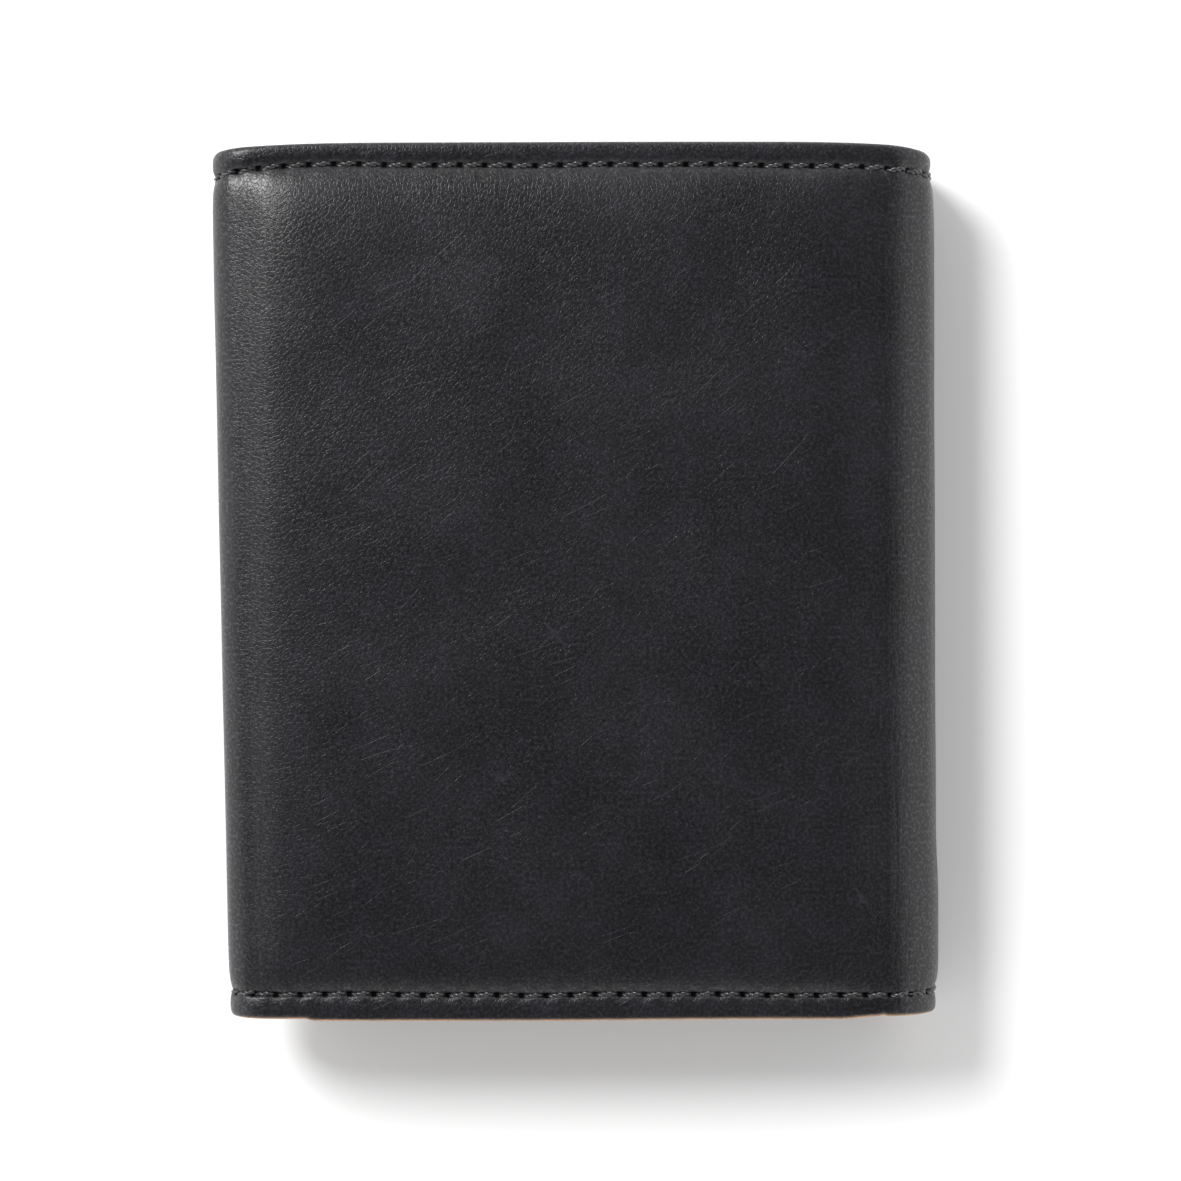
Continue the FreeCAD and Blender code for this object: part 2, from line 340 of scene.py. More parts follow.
    def panel(self, along: np.ndarray, across: np.ndarray, gap: np.ndarray, share: np.ndarray) -> np.ndarray:
        """Height between the two seam rows.

        Args:
            along: Distances along the strip.
            across: Y at each place.
            gap: Distances to the nearest seam row.
            share: How much each place belongs to the open panel.

        Returns:
            Heights of the crowned panel and of the folds beside it.
        """
        corner = ramp(along, self.valley - 1, self.valley + 7) * bell(along, self.valley + 5, 9.0)
        corner = corner * ramp(across, 20, 44)
        lower = self.lower_fold_rise * bell(along, self.right, 9.0) * ramp(-across, 28, 38)
        height = self.crown * share * (1 - np.exp(-gap / self.crown_reach))
        height = height + self.shoulder * share * (1 - np.exp(-gap / self.shoulder_reach))
        height = height - self.seam_sink * np.exp(-gap / self.seam_reach)
        height = height + self.corner_rise * corner * (1 - np.exp(-gap / self.corner_reach))
        on_fold = self.fold_rise * (1 - np.exp(-gap / self.fold_reach)) + lower
        return height + self.folds(along, 7.0) * on_fold

    def band(self, along: np.ndarray, upper: np.ndarray, gap: np.ndarray) -> np.ndarray:
        """Height of the narrow band between a seam row and its edge.

        Args:
            along: Distances along the strip.
            upper: 1 at the top edge and 0 at the bottom edge.
            gap: Distances to the nearest seam row.

        Returns:
            Heights of the band.
        """
        height = self.band_crown * np.sin(math.pi * np.clip(gap / self.seam_inset, 0, 1))
        height = height - self.seam_sink * (0.45 + 0.55 * upper) * np.exp(-gap / self.band_reach)
        return height - self.band_fold_drop * bell(along, self.right, 7.0) * upper

    def creases(self, along: np.ndarray, across: np.ndarray, gap: np.ndarray) -> np.ndarray:
        """Fine folds along Y where the leather turns over the outer fold."""
        place = bell(along, self.top_end + 0.8, 2.4) * (1 - np.exp(-gap / 2.0))
        strength = 0.002 + 0.006 * ramp(-across, -15.0, 35.0)
        turn = 2 * math.pi * along
        sway = 0.9 * np.sin(across / 7.3) + 0.5 * np.sin(across / 3.1 + 2.0)
        fine = np.sin(turn / self.fine_crease + sway) * (0.6 + 0.4 * np.sin(across / 4.7 + along))
        broad = np.sin(turn / self.broad_crease - 1.3 * sway + 1.0)
        broad = broad * (0.6 + 0.4 * np.sin(across / 6.9 - along))
        return place * strength * (fine + broad)

    def place(self, along: np.ndarray, across: np.ndarray, depth: np.ndarray | float) -> np.ndarray:
        """Points in the frame, in metres.

        Args:
            along: Distances along the strip.
            across: Y at each place.
            depth: Depths below the plain outside face.

        Returns:
            An array with X, Y and Z last.
        """
        x, z, _ = self.path.at(along, depth)
        x = x + self.shift(along, across)
        return np.stack(np.broadcast_arrays(x, across, z), axis=-1) * MM


class Zone(Enum):
    """The four stretches that the strip is parted into, one for each hinge line."""

    INNER_FLAP = "inner_flap"
    LEFT_BEND = "left_bend"
    CENTRE = "centre"
    OUTER_FLAP = "outer_flap"


CAD_BODY_NODES = {
    Zone.INNER_FLAP: ("inner_flap",),
    Zone.LEFT_BEND: ("inner_fold",),
    Zone.CENTRE: ("centre", "outer_fold"),
    Zone.OUTER_FLAP: ("outer_flap",),
}


@dataclass(frozen=True)
class Span:
    """Where a zone lies along the strip, and how it bends between two bodies."""

    zone: Zone
    start: float
    end: float
    body_a: str
    body_b: str
    bend_start: float
    bend_end: float

    def blend(self, piece: bpy.types.Object, relief: Relief, depth: float) -> None:
        """Bake a piece's transform into its mesh, without bending it.

        Args:
            piece: The finished piece.
            relief: The strip that the piece lies on.
            depth: Depth of the piece's middle below the outside face.
        """
        ends = [relief.path.at(np.array(along), depth) for along in (self.bend_start, self.bend_end)]
        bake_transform(piece)

    def fit(self, piece: bpy.types.Object, relief: Relief, depth: float, kind: str) -> None:
        """Bake a piece's transform and hide the zone's CAD nodes that it stands for.

        Args:
            piece: The finished piece.
            relief: The strip that the piece lies on.
            depth: Depth of the piece's middle below the outside face.
            kind: What the CAD nodes are called after their body's name.
        """
        self.blend(piece, relief, depth)
        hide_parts(*[f"{body}_{kind}" for body in CAD_BODY_NODES[self.zone]])
        LOG.info("made %s", piece.name)


def spans(relief: Relief) -> list[Span]:
    """The four zones in order along the strip."""
    return [
        Span(Zone.INNER_FLAP, 0.0, relief.left, "inner_fold", "inner_flap",
             relief.left_low_end, relief.left_low),
        Span(Zone.LEFT_BEND, relief.left, relief.valley, "centre_panel", "inner_fold",
             relief.valley - 0.65, relief.left_top),
        Span(Zone.CENTRE, relief.valley, relief.right, "centre_panel", "outer_fold",
             relief.top_end, relief.right_top),
        Span(Zone.OUTER_FLAP, relief.right, relief.length, "outer_fold", "outer_flap",
             relief.right_low, relief.outer_start),
    ]


@dataclass
class Rings:
    """Closed rings of points laid one after another along the strip."""

    points: np.ndarray
    uv: np.ndarray
    values: dict[str, np.ndarray] = field(default_factory=dict)
    normals: np.ndarray | None = None

    def faces(self) -> list[tuple[int, ...]]:
        """Quads between rings and a cap at each end, all facing outwards."""
        count, size = self.points.shape[:2]
        ring, spot = np.meshgrid(np.arange(count - 1), np.arange(size), indexing="ij")
        after = (spot + 1) % size
        quads = np.stack(
            [ring * size + spot, (ring + 1) * size + spot, (ring + 1) * size + after, ring * size + after], -1
        )
        caps = [tuple(range(size)), tuple(reversed(range((count - 1) * size, count * size)))]
        return [tuple(quad) for quad in quads.reshape(-1, 4).tolist()] + caps

    def mesh(self, name: str) -> bpy.types.Mesh:
        """The rings as a smooth closed mesh with a UV map in millimetres.

        Args:
            name: The mesh's name.

        Returns:
            The new mesh.
        """
        faces = self.faces()
        made = bpy.data.meshes.new(name)
        made.from_pydata(self.points.reshape(-1, 3).tolist(), [], faces)
        made.polygons.foreach_set("use_smooth", [True] * (len(faces) - 2) + [False, False])
        loops = np.zeros(len(made.loops), int)
        made.loops.foreach_get("vertex_index", loops)
        layer = made.uv_layers.new(name="strip")
        layer.data.foreach_set("uv", self.uv.reshape(-1, 2)[loops].ravel())
        for key, values in self.values.items():
            attribute = made.attributes.new(key, "FLOAT", "POINT")
            attribute.data.foreach_set("value", values.astype(np.float32).ravel())
        made.set_sharp_from_angle(angle=math.radians(38))
        if self.normals is not None:
            normals = self.normals.reshape(-1, 3)[loops]
            capped = sum(len(face) for face in faces[-2:])
            normals[len(loops) - capped:] = 0
            made.normals_split_custom_set(normals.tolist())
        made.validate()
        return made


def as_object(name: str, mesh: bpy.types.Mesh, material: bpy.types.Material) -> bpy.types.Object:
    """Put a mesh in the scene with one material."""
    if not mesh.materials:
        mesh.materials.append(material)
    made = bpy.data.objects.new(name, mesh)
    bpy.context.scene.collection.objects.link(made)
    return made


def stations(relief: Relief, start: float, end: float, step: float) -> np.ndarray:
    """Distances along the strip at which rings stand, closer where the leather bends or creases."""
    marks = [start]
    while marks[-1] < end - 1e-6:
        here = marks[-1]
        fine = relief.top_end - 3.5 < here < relief.right_top
        on_left = relief.left_low - 2 < here < relief.top_start + 3
        bends = on_left or relief.right_top <= here < relief.outer_start + 1
        near_end = min(here, relief.length - here) < 4
        gap = step * (0.5 if fine else 0.7 if bends or near_end else 1.0)
        marks.append(min(here + gap, end))
    if marks[-1] - marks[-2] < 0.05:
        marks.pop(-2)
    return np.array(marks)


class ShellSkin:
    """The outer leather: one hide, sewn top and bottom, with its edges turned round the lining."""

    strip_shares = (0, 0.04, 0.09, 0.16, 0.26, 0.4, 0.56, 0.72, 0.84, 0.93, 1)
    near_row = (0, 0.12, 0.28, 0.5, 0.8, 1.2, 1.7, 2.4, 3.2, 4.2)
    panel_step = 0.75
    wall = 0.8
    hem = 5.5
    far_from_seam = 9.0
    # Each line of the edge, from the outside in: share of the way down, reach outwards, share of undyed core.
    edge_profile = (
        (0.12, 0.04, 0.7), (0.28, 0.06, 1.0), (0.44, 0.03, 0.5), (0.53, -0.14, 0.0),
        (0.6, 0.03, 0.1), (0.8, 0.05, 0.14), (0.93, 0.0, 0.0), (1.0, -0.14, 0.0),
    )

    def __init__(self, relief: Relief, stack: Stack, pitch: float) -> None:
        """Keep what the skin is laid out on.

        Args:
            relief: The strip's shape.
            stack: Depths of its layers.
            pitch: Distance between stitches.
        """
        self.relief, self.stack, self.pitch = relief, stack, pitch

    def lines(self, along: np.ndarray) -> np.ndarray:
        """Y of every lengthwise line of the outside face, one row for each place along the strip."""
        low_edge, high_edge = self.relief.edges(along)
        low_row, high_row = self.relief.rows(along)
        strip = np.array(self.strip_shares)
        reach = 2 * (self.relief.half - self.relief.seam_inset)
        near = np.array(self.near_row) / reach
        count = round((1 - 2 * near[-1]) * reach / self.panel_step)
        middle = np.linspace(near[-1], 1 - near[-1], count)[1:-1]
        panel = np.concatenate([near, middle, 1 - near[::-1]])
        low = low_edge[:, None] + (low_row - low_edge)[:, None] * strip
        inner = low_row[:, None] + (high_row - low_row)[:, None] * panel
        high = high_row[:, None] + (high_edge - high_row)[:, None] * (1 - strip[::-1])
        return np.concatenate([low, inner[:, 1:-1], high], axis=1)

    def turned_edge(self, edge: np.ndarray, drop: np.ndarray, sign: int) -> tuple[list, list]:
        """Wall and hem below one edge, from the outside face inwards.

        Args:
            edge: Y of the edge along the strip.
            drop: Depth of the outside face at the edge.
            sign: 1 at the top edge and -1 at the bottom edge.

        Returns:
            Y and depth of each line.
        """
        full = self.stack.divider_start
        ys = [edge + sign * out for _, out, _ in self.edge_profile]
        depths = [drop + (full - drop) * share for share, _, _ in self.edge_profile]
        ys += [edge - sign * inset for inset in (self.hem, self.hem, self.wall, self.wall)]
        lining_end = self.stack.lining_end
        depths += [0 * edge + depth for depth in (full, lining_end, lining_end, self.stack.shell)]
        return ys, depths

    def rings(self, along: np.ndarray) -> Rings:
        """Rings of the shell's section at each place along the strip."""
        ys = self.lines(along)
        grid = np.broadcast_to(along[:, None], ys.shape)
        height = self.relief.height(grid, ys, self.pitch)
        low_edge, high_edge = self.relief.edges(along)
        top_y, top_depth = self.turned_edge(high_edge, -height[:, -1], 1)
        low_y, low_depth = self.turned_edge(low_edge, -height[:, 0], -1)
        extra_y = np.stack(top_y + low_y[::-1], axis=1)
        extra_depth = np.stack(top_depth + low_depth[::-1], axis=1)
        all_y = np.concatenate([ys, extra_y], axis=1)
        depth = np.concatenate([-height, extra_depth], axis=1)
        all_along = np.broadcast_to(along[:, None], all_y.shape)
        points = self.relief.place(all_along, all_y, depth)
        outside, extra = ys.shape[1], extra_y.shape[1]
        spread = np.where(np.arange(outside + extra) < outside, 0, np.sign(all_y) * depth)
        uv = np.stack([all_along, all_y + spread], -1)
        normals = self.normals(along, ys, points[:, :outside], extra)
        return Rings(points, uv, self.marks(grid, ys, extra), normals)

    def marks(self, along: np.ndarray, ys: np.ndarray, extra: int) -> dict[str, np.ndarray]:
        """Distance to the nearest seam row, share of cut edge, and how much the leather is flexed there."""
        low_row, high_row = self.relief.rows(along)
        low_edge, high_edge = self.relief.edges(along)
        gap = np.minimum(np.abs(ys - low_row), np.abs(high_row - ys))
        end_gap = np.abs(np.minimum(along, self.relief.length - along) - self.relief.seam_inset)
        gap = np.minimum(gap, end_gap + 0.12)
        to_edge = np.minimum(ys - low_edge, high_edge - ys)
        cut = 1 - ramp(to_edge, 0.05, 0.3)
        tail = np.zeros((ys.shape[0], extra))
        raw = np.zeros(extra)
        raw[: len(self.edge_profile)] = [share for _, _, share in self.edge_profile]
        raw = np.maximum(raw, raw[::-1])
        worked = bell(along, self.relief.top_end, 2.9) * (0.45 + 0.55 * ramp(-ys, -25.0, 30.0))
        worked = np.maximum(worked, 0.12 * bell(along, self.relief.valley, 1.6))
        return {
            "seam_gap": np.concatenate([gap, tail + self.far_from_seam], 1),
            "cut_edge": np.concatenate([cut, tail + raw], 1),
            "flex": np.concatenate([worked, tail], 1),
        }

    def normals(self, along: np.ndarray, ys: np.ndarray, points: np.ndarray, extra: int) -> np.ndarray:
        """Outward directions of the outside face, the same on both sides of a parting line.

        Args:
            along: Places along the strip.
            ys: Y of the outside face's lines.
            points: Points of the outside face.
            extra: Number of lines after the outside face, which keep their own directions.

        Returns:
            One direction for each point, zero where the mesh's own is kept.
        """
        step = 0.02
        sides = []
        for offset in (-step, step):
            moved = np.clip(along + offset, 0, self.relief.length)
            lines = self.lines(moved)
            grid = np.broadcast_to(moved[:, None], lines.shape)
            sides.append(self.relief.place(grid, lines, -self.relief.height(grid, lines, self.pitch)))
        forward = sides[1] - sides[0]
        across = np.gradient(points, axis=1)
        made = np.cross(forward, across)
        made /= np.maximum(np.linalg.norm(made, axis=-1, keepdims=True), 1e-12)
        made[:, :2] = 0
        made[:, -2:] = 0
        return np.concatenate([made, np.zeros((points.shape[0], extra, 3))], axis=1)

    def build(self, span: Span, finish: "Finish") -> None:
        """One zone of the shell, in place of the zone's CAD shell nodes."""
        name = f"shell_{span.zone.value}"
        along = stations(self.relief, span.start, span.end, 0.5 if span.zone is Zone.CENTRE else 0.7)
        piece = as_object(name, self.rings(along).mesh(name), finish.material())
        span.fit(piece, self.relief, 0.0, "shell")


@dataclass
class Layer:
    """A thin sheet that lies at one depth along the strip: lining, divider or pocket."""

    relief: Relief
    name: str
    outer: float
    inner: float
    low: Limit
    high: Limit
    across_step: float = 2.0
    edge_round: float = 0.3
    crease_inset: float = 0.0
    swell: float = 0.0

    def rings(self, along: np.ndarray) -> Rings:
        """Rings of the sheet's section at each place along the strip."""
        low, high = self.low(along), self.high(along)
        span = float(np.mean(high - low))
        near = np.array([0, 0.05, 0.14, 0.3]) / span
        crease = np.array([self.crease_inset + step for step in (0.5, 0.25, 0, -0.25, -0.5)]) / span
        count = max(3, round(span / self.across_step))
        shares = np.concatenate([near, np.linspace(0.4 / span, 1 - 0.4 / span, count), 1 - near[::-1]])
        if self.crease_inset:
            shares = np.unique(np.concatenate([shares, 1 - crease]))
        ys = low[:, None] + (high - low)[:, None] * shares
        grid = np.broadcast_to(along[:, None], ys.shape)
        to_edge = np.minimum(ys - low[:, None], high[:, None] - ys)
        ends = np.minimum(along - along[0], along[-1] - along)[:, None]
        half = (self.inner - self.outer) / 2
        radius = min(self.edge_round, half)
        trim = rounding(to_edge, radius)
        groove = 0.09 * bell(high[:, None] - ys, self.crease_inset, 0.22) if self.crease_inset else 0.0
        bow = self.swell * np.sin(math.pi * shares) * np.sin(math.pi * np.clip(ends / 20, 0, 0.5))
        outer = self.outer + trim + 0 * ys
        inner = self.inner - trim - groove + bow
        points = np.concatenate(
            [self.relief.place(grid, ys, outer), self.relief.place(grid, ys, inner)[:, ::-1]], axis=1
        )
        uv = np.stack([grid, ys], -1)
        return Rings(points, np.concatenate([uv, uv[:, ::-1]], axis=1))

    def build(self, along: np.ndarray, finish: "Finish", slot: str) -> bpy.types.Object:
        """The sheet as an object with its finish."""
        piece = as_object(self.name, self.rings(along).mesh(self.name), finish.material())
        return piece


class Value:
    """A number socket on which Python's operators add Math nodes."""

    def __init__(self, canvas: "Canvas", socket: bpy.types.NodeSocket) -> None:
        """Wrap a socket of a canvas."""
        self.canvas, self.socket = canvas, socket

    def _maths(self, operation: str, first: Link, second: Link) -> "Value":
        """One Math node."""
        node = self.canvas.add("ShaderNodeMath", {"operation": operation}, {0: first, 1: second})
        return Value(self.canvas, node.outputs[0])

    @staticmethod
    def _operator(operation: str, swapped: bool = False) -> Callable[["Value", Link], "Value"]:
        """A method that adds one Math node.

        Args:
            operation: The node's operation.
            swapped: Whether the other number comes first.

        Returns:
            The method.
        """
        def method(self: "Value", other: Link = 0.0) -> "Value":
            """This number with another."""
            return self._maths(operation, other, self) if swapped else self._maths(operation, self, other)

        return method

    __add__, __radd__ = _operator("ADD"), _operator("ADD", swapped=True)
    __sub__, __rsub__ = _operator("SUBTRACT"), _operator("SUBTRACT", swapped=True)
    __mul__, __rmul__ = _operator("MULTIPLY"), _operator("MULTIPLY", swapped=True)
    __truediv__ = _operator("DIVIDE")
    __mod__ = _operator("FLOORED_MODULO")
    __abs__ = _operator("ABSOLUTE")
    sine = _operator("SINE")
    cosine = _operator("COSINE")
    larger = _operator("MAXIMUM")
    above = _operator("GREATER_THAN")

    def step(self, low: float, high: float) -> "Value":
        """Smooth step from 0 at low to 1 at high; high may be the smaller."""
        node = self.canvas.add("ShaderNodeMapRange", {"interpolation_type": "SMOOTHSTEP"}, {
            "Value": self, "From Min": min(low, high), "From Max": max(low, high),
            "To Min": 0.0 if low < high else 1.0, "To Max": 1.0 if low < high else 0.0})
        return Value(self.canvas, node.outputs["Result"])


class Canvas:
    """Adds nodes to one tree."""

    def __init__(self, tree: bpy.types.NodeTree) -> None:
        """Start on a tree, cleared of its nodes."""
        self.tree = tree
        tree.nodes.clear()

    def add(self, kind: str, settings: dict | None = None, inputs: dict | None = None) -> bpy.types.Node:
        """Make one node.

        Args:
            kind: The node's type.
            settings: Its properties, which are set first.
            inputs: Values or links by the socket's name or number.

        Returns:
            The new node.
        """
        node = self.tree.nodes.new(kind)
        for key, value in (settings or {}).items():
            setattr(node, key, value)
        for key, value in (inputs or {}).items():
            self._feed(node.inputs[key], value)
        return node

    def _feed(self, socket: bpy.types.NodeSocket, value: Link) -> None:
        """Link or set one input."""
        if isinstance(value, Value):
            value = value.socket
        if isinstance(value, bpy.types.NodeSocket):
            self.tree.links.new(value, socket)
        elif socket.type == "RGBA" and len(value) == 3:
            socket.default_value = (*value, 1.0)
        else:
            socket.default_value = value

    def value(self, kind: str, settings: dict | None = None, inputs: dict | None = None,
              output: str | int = 0) -> Value:
        """Make one node and wrap one of its outputs."""
        return Value(self, self.add(kind, settings, inputs).outputs[output])

    def noise(self, place: Link, scale: float, detail: float = 3.0, roughness: float = 0.5) -> Value:
        """Noise from 0 to 1 at that many waves to the millimetre."""
        return self.value("ShaderNodeTexNoise", {}, {
            "Vector": place, "Scale": scale, "Detail": detail, "Roughness": roughness})

    def mix(self, share: Link, first: Link, second: Link) -> bpy.types.NodeSocket:
        """Mix two colours."""
        node = self.add("ShaderNodeMix", {"data_type": "RGBA"}, {0: share, 6: first, 7: second})
        return node.outputs[2]

    def scaled(self, vector: Link, share: Link) -> bpy.types.NodeSocket:
        """A colour or a place times a number."""
        node = self.add("ShaderNodeVectorMath", {"operation": "SCALE"}, {0: vector, "Scale": share})
        return node.outputs[0]

    def mapped(self, place: Link, **changes: Sequence[float]) -> bpy.types.NodeSocket:
        """A place after a Location, a Rotation or a Scale."""
        return self.add("ShaderNodeMapping", {}, {"Vector": place, **changes}).outputs[0]

    def joined(self, **parts: Link) -> bpy.types.NodeSocket:
        """A vector from its X, Y and Z, where a missing part is 0."""
        return self.add("ShaderNodeCombineXYZ", {}, parts).outputs[0]

    def split(self, vector: Link) -> list[Value]:
        """A vector's X, Y and Z."""
        return [Value(self, part) for part in self.add("ShaderNodeSeparateXYZ", {}, {0: vector}).outputs]

    def attribute(self, name: str) -> Value:
        """A number that the mesh carries at its points."""
        return self.value("ShaderNodeAttribute", {"attribute_name": name}, {}, "Fac")

    def bump(self, strength: float, distance: float, height: Link) -> bpy.types.NodeSocket:
        """Normals of a surface that rises by that many millimetres where the height is 1."""
        sizes = {"Strength": strength, "Distance": distance * MM, "Height": height}
        return self.add("ShaderNodeBump", {}, sizes).outputs[0]


class Pattern(Enum):
    """What a finish's pattern is laid out on."""

    STRIP = "strip"
    OBJECT = "object"


@dataclass(frozen=True)
class Finish:
    """A finish that makes its material once."""

    name: str
    pattern: Pattern = Pattern.STRIP

    def material(self) -> bpy.types.Material:
        """The finish's material, made on first use."""
        found = bpy.data.materials.get(self.name)
        if found:
            return found
        made = bpy.data.materials.new(self.name)
        made.use_nodes = True
        canvas = Canvas(made.node_tree)
        shader = self.shader(canvas, self.place(canvas))
        canvas.add("ShaderNodeOutputMaterial", {}, {"Surface": shader.outputs[0]})
        return made

    def place(self, canvas: Canvas) -> bpy.types.NodeSocket:
        """Pattern coordinates in millimetres."""
        if self.pattern is Pattern.STRIP:
            return canvas.add("ShaderNodeUVMap", {"uv_map": "strip"}).outputs["UV"]
        where = canvas.add("ShaderNodeTexCoord").outputs["Object"]
        return canvas.scaled(where, 1 / MM)

    def shader(self, canvas: Canvas, place: bpy.types.NodeSocket) -> bpy.types.Node:
        """The finish's shader node."""
        raise NotImplementedError


@dataclass(frozen=True)
class Leather(Finish):
    """Smooth dyed leather with fine grain, pores, hairline scratches and painted edges."""

    dye: Colour = (0.0070, 0.0071, 0.0088)
    cast: Colour = (0.0088, 0.0083, 0.0112)
    raw: Colour = (0.50, 0.27, 0.125)
    paint: Colour = (0.008, 0.009, 0.012)
    grain: float = 2.1
    grain_depth: float = 0.028
    roughness: float = 0.345
    seam: bool = False
    pitch: float = 2.9
    warp_scale, pore_scale, fine_scale, cloud_scale, patch_scale = 1.1, 1.25, 2.5, 0.07, 0.24
    # Colour and share of the painted shade mixed into the needle holes.
    hole_dye, hole_share = (0.0015, 0.0015, 0.002), 0.93
    # Each family of scratches: angle, closeness across them, and the seed that moves them.
    hairlines = ((-0.72, 0.30, 3.0), (-0.40, 0.42, 17.0), (0.95, 0.34, 41.0))
    stretched = 0.05

    def shader(self, canvas: Canvas, place: bpy.types.NodeSocket) -> bpy.types.Node:
        """Grain and pores in the bump, cloudy dye in the colour, and painted shade along the seam rows and in
        their needle holes where there are any.
        """
        warp = canvas.add("ShaderNodeTexNoise", {},
                          {"Vector": place, "Scale": self.warp_scale, "Detail": 2.0})
        swirl = canvas.add("ShaderNodeVectorMath", {"operation": "MULTIPLY_ADD"},
                           {0: warp.outputs["Color"], 1: (0.5, 0.5, 0.5), 2: place}).outputs[0]
        cells = canvas.value("ShaderNodeTexVoronoi", {"feature": "DISTANCE_TO_EDGE"},
                             {"Vector": swirl, "Scale": self.grain, "Randomness": 1.0})
        creased = cells.step(0.0, 0.16)
        pores = canvas.value("ShaderNodeTexVoronoi", {"feature": "F1"},
                             {"Vector": swirl, "Scale": self.pore_scale, "Randomness": 1.0}).step(0.17, 0.05)
        fine = canvas.noise(place, self.fine_scale, 2.0, 0.55)
        cloud = canvas.noise(place, self.cloud_scale, 3.0, 0.55)
        patch = canvas.noise(place, self.patch_scale, 2.0, 0.5)
        scratch = self.scratches(canvas, place)
        height = creased * 0.42 + fine * 0.75 - pores * 0.5 - scratch * 0.3
        roughness = self.roughness + (cloud - 0.5) * 0.12 + (fine - 0.5) * 0.12 + pores * 0.2
        tone = (cloud - 0.5) * 0.9 + (fine - 0.5) * 2.0 + creased * 0.3 + 0.75
        colour = canvas.mix(patch.step(0.42, 0.62), self.dye, self.cast)
        colour = canvas.scaled(colour, tone + scratch * 0.9)
        hole: Value | None = None
        if self.seam:
            height = height + self.flexed(canvas, place)
            colour, roughness, height, hole = self.seams(canvas, place, colour, roughness, height)
        skin = canvas.add("ShaderNodeBsdfPrincipled", {}, {
            "Base Color": colour, "Roughness": roughness,
            "Normal": canvas.bump(1.0, self.grain_depth, height), "Specular IOR Level": 0.34,
            "Coat Weight": fine.step(0.46, 0.7) * 0.55, "Coat Roughness": 0.3})
        if hole is None:
            return skin
        # Painted shade: a near-black diffuse shader stands in the needle holes.
        pit = canvas.add("ShaderNodeBsdfDiffuse", {}, {"Color": self.hole_dye})
        parts = {0: hole * self.hole_share, 1: skin.outputs[0], 2: pit.outputs[0]}
        return canvas.add("ShaderNodeMixShader", {}, parts)

    def scratches(self, canvas: Canvas, place: bpy.types.NodeSocket) -> Value:
        """Sparse hairlines that mostly rise to the right."""
        total: Value | None = None
        for angle, scale, seed in self.hairlines:
            turned = canvas.mapped(place, Rotation=(0.0, 0.0, angle))
            drawn = canvas.mapped(turned, Location=(seed, seed * 2, 0.0), Scale=(self.stretched, scale, 1.0))
            line = abs(canvas.noise(drawn, 1.0, 0.0) - 0.5).step(0.0065, 0.0)
            spots = canvas.mapped(place, Location=(seed, seed, 0.0))
            one = line * canvas.noise(spots, 0.19, 1.0).step(0.55, 0.62)
            total = one if total is None else total.larger(one)
        return total

    def flexed(self, canvas: Canvas, place: bpy.types.NodeSocket) -> Value:
        """Fine wrinkles across the strip where the leather has been folded often."""
        drawn = canvas.add("ShaderNodeVectorMath", {"operation": "MULTIPLY"}, {0: place, 1: (1.9, 0.16, 1.0)})
        return (canvas.noise(drawn.outputs[0], 1.0, 2.0, 0.6) - 0.5) * canvas.attribute("flex") * 3.2

    def seams(self, canvas: Canvas, place: bpy.types.NodeSocket, colour: Link, roughness: Value,
              height: Value) -> tuple[Link, Value, Value, Value]:
        """Paint shade along the seam rows and into their needle holes, and dress the cut edges.

        Args:
            canvas: The tree.
            place: Pattern coordinates.
            colour: Colour so far.
            roughness: Roughness so far.
            height: Bump height so far.

        Returns:
            The new colour, roughness and height, and how deep in a needle hole a place is, which sets the
            painted hole shade.
        """
        gap, cut = canvas.attribute("seam_gap"), canvas.attribute("cut_edge")
        along, across, _ = canvas.split(place)
        phase = abs((along / self.pitch) % 1.0 - 0.5)
        # Painted shade: marks the needle holes that get the near-black shader.
        hole = phase.step(0.35, 0.44) * gap.step(0.44, 0.2)
        # Painted shade: the colour darkens along each seam row's groove.
        groove = gap.step(0.5, 0.1)
        colour = canvas.scaled(colour, 1.0 - groove * 0.6)
        painted = canvas.mix(across.step(-20.0, -35.0), self.paint, self.raw)
        worn = canvas.noise(place, 0.35, 3.0).step(0.25, 0.7) * 0.36 + 0.6
        colour = canvas.mix(cut * worn, colour, painted)
        return colour, roughness + cut * 0.12, height * (1.0 - cut * 0.7), hole


@dataclass(frozen=True)
class Thread(Finish):
    """Waxed twisted thread."""

    pattern: Pattern = Pattern.OBJECT
    dye: Colour = (0.009, 0.009, 0.011)

    def shader(self, canvas: Canvas, place: bpy.types.NodeSocket) -> bpy.types.Node:
        """Fibres in the bump over a waxed black."""
        fibre = canvas.noise(place, 9.0, 3.0, 0.6)
        tone = canvas.noise(place, 0.6, 1.0)
        colour = canvas.mix(tone.step(0.35, 0.65), self.dye, tuple(part * 1.7 for part in self.dye))
        return canvas.add("ShaderNodeBsdfPrincipled", {}, {
            "Base Color": colour, "Roughness": 0.22 + fibre * 0.14, "Normal": canvas.bump(0.8, 0.03, fibre),
            "Specular IOR Level": 0.7, "Sheen Weight": 0.15})


